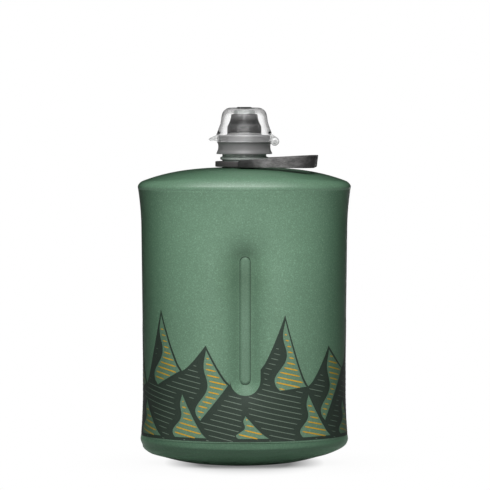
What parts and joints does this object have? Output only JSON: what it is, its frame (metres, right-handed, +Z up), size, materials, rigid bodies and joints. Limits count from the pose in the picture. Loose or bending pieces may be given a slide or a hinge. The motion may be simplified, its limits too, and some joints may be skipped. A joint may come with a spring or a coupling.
{
  "type": "folding water bottle",
  "caption": "Soft flat-folding water bottle with an oval welded body, threaded spout, swing handle, and a screw cap with twist valve, sip nozzle and hinged dust cover.",
  "frame": {"origin": "centre of the flat standing face under the base, on the floor", "axes": "+Z up along the spout axis, +X to the right seen from the front (the side the handle and the cover hinge are on), -Y towards the front"},
  "size_m": [0.124, 0.0784, 0.2073],
  "materials": {
    "soft_film": "frosted translucent green film",
    "spout_green": "smooth translucent green",
    "cap_grey": "satin moulded",
    "nozzle_grey": "soft matt",
    "handle_grey": "fine grained",
    "clear_plastic": "clear moulded",
    "silicone": "translucent silicone",
    "black_rubber": "matt seal",
    "steel": "polished pin",
    "ink": "printed charcoal ink",
    "gold_ink": "printed golden ink"
  },
  "bodies": {
    "bottle": {"side_wall": "soft_film", "shoulder": "soft_film", "base_pan": "soft_film", "baffle_web": "soft_film", "neck_spout": "spout_green"},
    "front_panel": {"front_weld_strip": "soft_film"},
    "back_panel": {"back_weld_strip": "soft_film"},
    "cap_seal": {"cap_gasket": "black_rubber"},
    "cap": {"cap_collar": "cap_grey", "valve_seat": "cap_grey", "valve_seal": "black_rubber", "nozzle_o_ring": "black_rubber", "retaining_ring": "cap_grey", "hinge_pin": "steel"},
    "nozzle": {"nozzle_core": "cap_grey", "nozzle_sleeve": "nozzle_grey", "slit_valve": "silicone"},
    "cover": {"dust_cover": "clear_plastic", "cover_plug": "silicone"},
    "ring": {"handle_ring": "handle_grey"},
    "bail": {"bail_handle": "handle_grey"}
  },
  "joints": [
    {"name": "cap_rise", "type": "slide", "parent": "bottle", "child": "cap_seal", "axis": [0, 0, 1], "range_m": [0, 0.012]},
    {"name": "cap_unscrew", "type": "hinge", "parent": "cap_seal", "child": "cap", "pos_m": [0, 0, 0.185], "axis": [0, 0, 1], "range_deg": [0, 1440]},
    {"name": "cover_hinge", "type": "hinge", "parent": "cap", "child": "cover", "pos_m": [0.0176, 0, 0.1874], "axis": [0, 1, 0], "range_deg": [0, 120]},
    {"name": "nozzle_twist", "type": "hinge", "parent": "cap", "child": "nozzle", "pos_m": [0, 0, 0.195], "axis": [0, 0, 1], "range_deg": [0, 90]},
    {"name": "handle_swivel", "type": "hinge", "parent": "bottle", "child": "ring", "pos_m": [0, 0, 0.1742], "axis": [0, 0, 1], "continuous": true},
    {"name": "bail_swing", "type": "hinge", "parent": "ring", "child": "bail", "pos_m": [0, 0, 0.1747], "axis": [-0.0958, -0.9954, 0], "range_deg": [0, 176]},
    {"name": "front_flatten", "type": "slide", "parent": "bottle", "child": "front_panel", "axis": [0, 1, 0], "range_m": [0, 0.0213], "deforming": ["side_wall", "shoulder", "base_pan", "baffle_web"]},
    {"name": "back_flatten", "type": "slide", "parent": "bottle", "child": "back_panel", "axis": [0, -1, 0], "range_m": [0, 0.0213]}
  ],
  "couplings": [
    {"joint": "cap_rise", "follows": "cap_unscrew", "m_per_rad": 0.00047746},
    {"joint": "back_flatten", "follows": "front_flatten", "ratio": 1}
  ]
}
